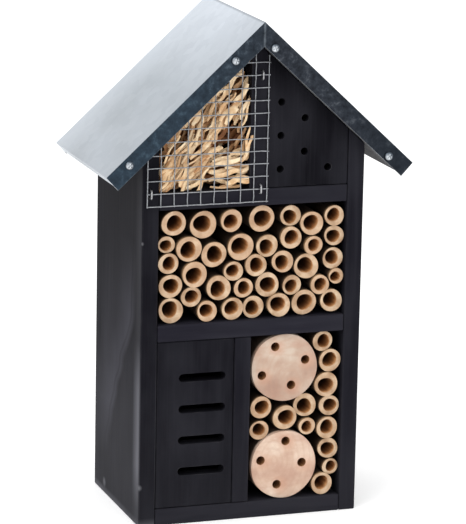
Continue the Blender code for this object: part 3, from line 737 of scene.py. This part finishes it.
def make_wire_mesh():
    """Upright wires behind and level wires in front, cut along the left slope of the roof."""
    low, high = span("wire_mesh")
    left, right = low.x + WIRE_END, high.x - WIRE_END
    meshes = round((right - left) / MESH_COLUMN)
    bottom = low.z + WIRE_END
    behind, ahead = high.y - CAD_WIRE / 2, low.y + CAD_WIRE / 2
    store = ([], [], [])
    for i in range(meshes + 1):
        x = left + (right - left) * i / meshes
        top = under_roof(x) - MESH_TRIM
        steps = max(2, int((top - bottom) / (MESH_ROW / 2)))
        sway = RNG.normal(0, WIRE_SWAY, steps + 1)
        path = []
        for j in range(steps + 1):
            z = bottom - WIRE_END + (top - bottom + WIRE_END) * j / steps
            path.append((x + sway[j], behind, z))
        add_tube(store, path, WIRE_RADIUS)
    rows = int((under_roof(right) - MESH_TRIM - bottom) / MESH_ROW) + 1
    for j in range(rows):
        z = bottom + j * MESH_ROW
        start = max(left - WIRE_END, -(RIDGE_UNDER - MESH_TRIM - z) / SLOPE)
        steps = max(2, int((right - start) / WIRE_STEP))
        sway = RNG.normal(0, WIRE_SWAY, steps + 1)
        path = []
        for i in range(steps + 1):
            path.append((start + (right + WIRE_END - start) * i / steps, ahead, z + sway[i]))
        add_tube(store, path, WIRE_RADIUS)
    material = zinc("galvanised_wire", (0.34, 0.35, 0.37), 0.42)
    piece("wire_mesh_wires", to_mesh("wire_mesh", *store), [material], ["wire_mesh"])


def make_staples():
    """Round wire staples: two legs into the wood and a crown over the mesh."""
    for name in sorted(NODES):
        if not name.startswith("mesh_staple"):
            continue
        low, high = span(name)
        x = (low.x + high.x) / 2
        crown = low.y + STAPLE_RADIUS
        bottom, top = low.z + STAPLE_RADIUS, high.z - STAPLE_RADIUS
        path = [(x, high.y, bottom), (x, crown + 2 * STAPLE_BEND, bottom),
                (x, crown + STAPLE_BEND, bottom)]
        for angle in (30, 60, 90):
            turn = math.radians(angle)
            path.append((x, crown + STAPLE_BEND * (1 - math.sin(turn)),
                         bottom + STAPLE_BEND * (1 - math.cos(turn))))
        path += [(px, py, bottom + top - pz) for px, py, pz in reversed(path)]
        store = ([], [], [])
        add_tube(store, path, STAPLE_RADIUS, 12)
        bright = zinc(f"{name}_zinc", (0.42, 0.42, 0.43), 0.3)
        piece(f"{name}_wire", to_mesh(name, *store), [bright], [name])


# ---------------------------------------------------------------- roof screws


def screw_zinc(name, centre):
    """Zinc painted as reflection: dark, with a painted highlight in the middle of a head, broken up by
    grime.
    """
    s = Shade(name)
    grime = s.noise(s.coords((800.0, 800.0, 800.0)), detail=4.0)
    # painted highlight round a point near the middle of the head
    highlight = s.times(s.spot(centre, 2.4 * MM), s.ramp(grime, [(0.30, 0.55), (0.62, 1.0)]))
    colour = s.mix(highlight, (0.085, 0.105, 0.13), (0.70, 0.73, 0.76))
    rough = s.math("ADD", s.times(grime, 0.25), 0.22)
    return s.finish(colour, rough, s.bump(grime, 0.0001, 0.3), metallic=0.9)


HEAD_RISE = 1.25 * MM  # height of the dome
HEAD_RIM = 1.6 * MM  # end of the straight rim under the dome
HEAD_DEPTH = 1.8 * MM
SHANK_RADIUS = 1.3 * MM
POINT_LENGTH = 2.0 * MM
POINT_RADIUS = 0.15 * MM
BLADE = (3.2 * MM, 2.0 * MM, 0.62 * MM, 1.0)  # two of these make the cross recess


def make_screws():
    """Domed screws with a cross recess, each turned its own way."""
    sides = 32
    for name in sorted(NODES):
        if not name.startswith("roof_screw"):
            continue
        low, high = span(name)
        facing = -1 if "_front_" in name else 1
        x, z = (low.x + high.x) / 2, (low.z + high.z) / 2
        tip = high.y if facing < 0 else low.y
        crown = low.y if facing < 0 else high.y
        radius = (high.x - low.x) / 2
        depth = abs(tip - crown)
        profile = []
        for angle in (8, 20, 35, 50, 65, 80, 90):
            turn = math.radians(angle)
            profile.append((radius * math.sin(turn), HEAD_RISE * (1 - math.cos(turn))))
        profile += [(radius, HEAD_RIM), (radius * 0.96, HEAD_DEPTH), (SHANK_RADIUS, HEAD_DEPTH),
                    (SHANK_RADIUS, depth - POINT_LENGTH), (POINT_RADIUS, depth)]
        rings = []
        for size, down in profile:
            ring = []
            for k in range(sides):
                angle = 2 * math.pi * k / sides
                y = crown - facing * down
                ring.append((x + size * math.cos(angle), y, z + size * math.sin(angle)))
            rings.append(ring)
        mesh = to_mesh(name, *grid_mesh(rings))
        # the painted highlight sits a little left of and below each head's middle
        material = screw_zinc(f"{name}_zinc", (x - 0.4 * MM, crown, z - 0.4 * MM))
        screw = piece(f"{name}_head", mesh, [material], [name])
        turn = RNG.uniform(0, math.pi / 2)
        recess = bmesh.new()
        for quarter in (0, 1):
            blade = Matrix.Translation((x, crown, z))
            blade = blade @ Matrix.Rotation(turn + quarter * math.pi / 2, 4, "Y")
            bmesh.ops.create_cube(recess, size=1.0, matrix=blade @ Matrix.Diagonal(BLADE))
        cut_away(screw, recess, 35, crossing=True)


# ---------------------------------------------------------------- wood wool


WOOL_SPREAD = 2.5 * MM  # how far strands may reach past the CAD block at the right
# across and up from the chamber's lower left corner, half width and half height, in mm
WOOL_HOLLOWS = ((44.5, 29.5, 6.0, 5.5), (47.0, 61.5, 2.4, 3.0), (27.0, 46.5, 1.6, 3.0),
                (16.5, 33.0, 2.4, 2.4), (1.5, 22.0, 2.0, 4.0), (25.0, 20.0, 1.2, 1.6),
                (17.5, 12.5, 1.2, 1.0), (31.0, 6.0, 1.2, 0.9))


STRAND_STEPS = 11


def make_wood_wool():
    """Wisps of curled shavings pressed into the left attic chamber, with a loose gap at the right."""
    low, high = span("wood_wool_filling")
    tones = [
        ((0.29, 0.110, 0.036), (0.53, 0.285, 0.125), (0.70, 0.46, 0.25)),
        ((0.58, 0.33, 0.155), (0.84, 0.62, 0.375), (0.94, 0.80, 0.57)),
        ((0.16, 0.045, 0.012), (0.34, 0.125, 0.040), (0.48, 0.22, 0.09)),
    ]
    materials = [shavings(f"wood_wool_{i}", tone) for i, tone in enumerate(tones)]
    store = ([], [], [])
    # deeper layers take darker tones, the back layer the darkest: painted shade deeper in the chamber
    # tone, strands, nearest and furthest depth behind the front, widths, share of the hollows kept clear
    layers = ((2, 200, 12.0, 28.0, 1.8, 3.6, 0.0), (0, 110, 6.0, 13.0, 1.6, 3.2, 0.8),
              (1, 175, -1.2, 6.0, 1.4, 3.1, 1.0))
    for tone, count, near, far, thin, wide, clear in layers:
        for _ in range(count):
            x = RNG.uniform(low.x + 1 * MM, high.x + WOOL_SPREAD)
            z = RNG.uniform(low.z, under_roof(x) - 2.5 * MM)
            y = FRONT + RNG.uniform(near, far) * MM + 1.5 * MM
            # strands stand steeply, except that they fan out level in the lower right corner
            across = (x - low.x) / (high.x - low.x)
            up = (z - low.z) / (60 * MM)
            fan = min(max((across - 0.35) / 0.3, 0.0), 1.0) * min(max((0.46 - up) / 0.15, 0.0), 1.0)
            lean = 60 - 52 * fan + 70 * fan * (up - 0.15) + RNG.normal(0, 11)
            length = RNG.uniform(11, 23) * MM
            swing, phase = RNG.uniform(0.15, 0.55), RNG.uniform(0, 2 * math.pi)
            width, thick = RNG.uniform(thin, wide) * MM, RNG.uniform(0.5, 0.9) * MM
            twist = RNG.uniform(-1.2, 1.2)
            drift = RNG.normal(0, 0.10)
            point = np.array([x, y, z])
            path = []
            for i in range(STRAND_STEPS):
                heading = math.radians(lean) + swing * math.sin(phase + 2 * math.pi * i / STRAND_STEPS)
                path.append(point.copy())
                point += length / STRAND_STEPS * np.array([math.cos(heading), drift, math.sin(heading)])
            middle = np.mean(path, axis=0) - np.array([x, y, z])
            path = [step - middle for step in path]
            if in_hollow(path, low, clear):
                continue
            rings = ribbon(path, width, thick, twist, low, high)
            points, faces, _ = grid_mesh(rings)
            choice = tone if RNG.random() < 0.8 else int(RNG.integers(0, 2))
            add_faces(store, points, faces, [choice] * len(faces))
    piece("wood_wool_strands", to_mesh("wood_wool", *store), materials, ["wood_wool_filling"])


def in_hollow(path, low, share):
    """Whether a strand crosses one of the places where the pale wool leaves the darker wool behind bare,
    dark there as painted shade.
    """
    for across, up, half_width, half_height in WOOL_HOLLOWS if share else ():
        for x, _, z in path:
            dx, dz = x - low.x - across * MM, z - low.z - up * MM
            if (dx / half_width) ** 2 + (dz / half_height) ** 2 < (share * MM) ** 2:
                return True
    return False


def ribbon(path, width, thick, twist, low, high):
    """Flat strand, tapered and twisted, kept inside the chamber."""
    rings = []
    count = len(path)
    for i, point in enumerate(path):
        ahead = path[min(i + 1, count - 1)] - path[max(i - 1, 0)]
        ahead = ahead / (np.linalg.norm(ahead) + 1e-9)
        side = np.array([-ahead[2], 0.0, ahead[0]])
        turn = twist * i / count
        flat = math.cos(turn) * side + math.sin(turn) * np.array([0.0, 1.0, 0.0])
        normal = np.cross(ahead, flat)
        taper = 0.55 + 0.45 * math.sin(math.pi * (i + 0.8) / (count + 0.6))
        ring = []
        for k in range(6):
            angle = 2 * math.pi * k / 6
            offset = flat * (width / 2 * taper * math.cos(angle)) + normal * (thick / 2 * math.sin(angle))
            p = point + offset
            p[1] = min(max(p[1], FRONT - 0.3 * MM), high.y)
            right = high.x + WOOL_SPREAD if p[1] < FRONT else DIVIDER_LEFT - 0.1 * MM
            p[0] = min(max(p[0], low.x - 0.5 * MM), right)
            p[2] = min(max(p[2], low.z - 0.4 * MM), under_roof(p[0]) - 0.8 * MM)
            ring.append(tuple(p))
        rings.append(ring)
    return rings


# ---------------------------------------------------------------- carried-over CAD nodes

# axis of the grain: 0 across, 1 back, 2 up
GRAIN = {
    "side_board_left": 2, "side_board_right": 2, "back_board": 2, "slot_panel": 2, "drilled_panel": 2,
    "lower_divider": 2, "attic_divider": 2, "base_board": 0, "middle_shelf": 0, "upper_shelf": 0,
    "roof_board_left": 1, "roof_board_right": 1,
}
# brightness of the stain where it isn't 1
FADE = {"middle_shelf": 1.7, "upper_shelf": 1.3, "base_board": 1.3, "drilled_panel": 0.55,
        "side_board_left": 0.7, "slot_panel": 0.68}
ROOF_UNDERSIDE_REFLECTION = (14.0, 14.5, 10.5)  # the roof boards' stain made many times brighter: a painted reflection of the pale surroundings on their undersides


def dress_boards():
    """Gives the CAD's own boards and roof sheet their materials."""
    for name, axis in GRAIN.items():
        data = NODES[name].data
        data.materials.clear()
        # the roof boards take the painted reflection instead of the plain stain
        fades = ROOF_UNDERSIDE_REFLECTION if name.startswith("roof_board") else (FADE.get(name, 1.0),) * 3
        data.materials.append(black_wood(f"{name}_stain", axis, fades, name == "side_board_left"))
    sheet = NODES["roof_sheet"].data
    sheet.materials.clear()
    sheet.materials.append(galvanised("zinc_sheet"))


# ---------------------------------------------------------------- studio


def area_light(name, place, target, size, power):
    data = bpy.data.lights.new(name, "AREA")
    data.shape = "RECTANGLE"
    data.size, data.size_y = size
    data.energy = power
    light = bpy.data.objects.new(name, data)
    light.location = place
    aim = Vector(target) - Vector(place)
    light.rotation_euler = aim.to_track_quat("-Z", "Y").to_euler()
    bpy.context.scene.collection.objects.link(light)


def make_studio():
    """White surroundings, a pale floor and three soft lights from the upper left and front."""
    data = bpy.data.meshes.new("floor")
    data.from_pydata([(-6, -6, 0), (6, -6, 0), (6, 6, 0), (-6, 6, 0)], [], [(0, 1, 2, 3)])
    floor = bpy.data.objects.new("studio_floor", data)
    s = Shade("pale_floor")
    s.shader.inputs["Emission Color"].default_value = (1.0, 1.0, 1.0, 1.0)
    s.shader.inputs["Emission Strength"].default_value = 0.22
    data.materials.append(s.finish((0.92, 0.92, 0.92, 1.0), 0.9))
    bpy.context.scene.collection.objects.link(floor)
    world = bpy.data.worlds.new("studio")
    bpy.context.scene.world = world
    world.use_nodes = True
    world.node_tree.nodes["Background"].inputs["Color"].default_value = (1.0, 1.0, 1.0, 1.0)
    world.node_tree.nodes["Background"].inputs["Strength"].default_value = 1.05
    middle = (0.0, 0.0, 0.16)
    area_light("key_top_left", (-0.9, -0.6, 1.3), middle, (0.9, 0.9), 9.0)
    area_light("fill_front", (0.6, -1.6, 0.7), middle, (1.2, 0.8), 4.5)
    area_light("side_strip", (-1.3, 0.2, 0.4), middle, (0.5, 0.9), 1.0)


def make_camera():
    """A long lens, a little to the left of the hotel and above it, as in the photo."""
    data = bpy.data.cameras.new("camera")
    data.lens = 218.3
    data.sensor_width = 36.0
    data.clip_start, data.clip_end = 0.05, 30.0
    camera = bpy.data.objects.new("camera", data)
    camera.location = (-0.6017, -1.7008 + FRONT, 0.5850)
    yaw, pitch, roll = math.radians(-19.113), math.radians(90 - 13.368), math.radians(1.155)
    turn = Matrix.Rotation(yaw, 4, "Z") @ Matrix.Rotation(pitch, 4, "X") @ Matrix.Rotation(roll, 4, "Z")
    camera.rotation_euler = turn.to_euler()
    bpy.context.scene.collection.objects.link(camera)
    bpy.context.scene.camera = camera


bpy.context.scene.view_settings.view_transform = "Standard"
make_camera()
make_studio()
dress_boards()
make_canes()
make_logs()
make_wire_mesh()
make_staples()
make_screws()
make_wood_wool()
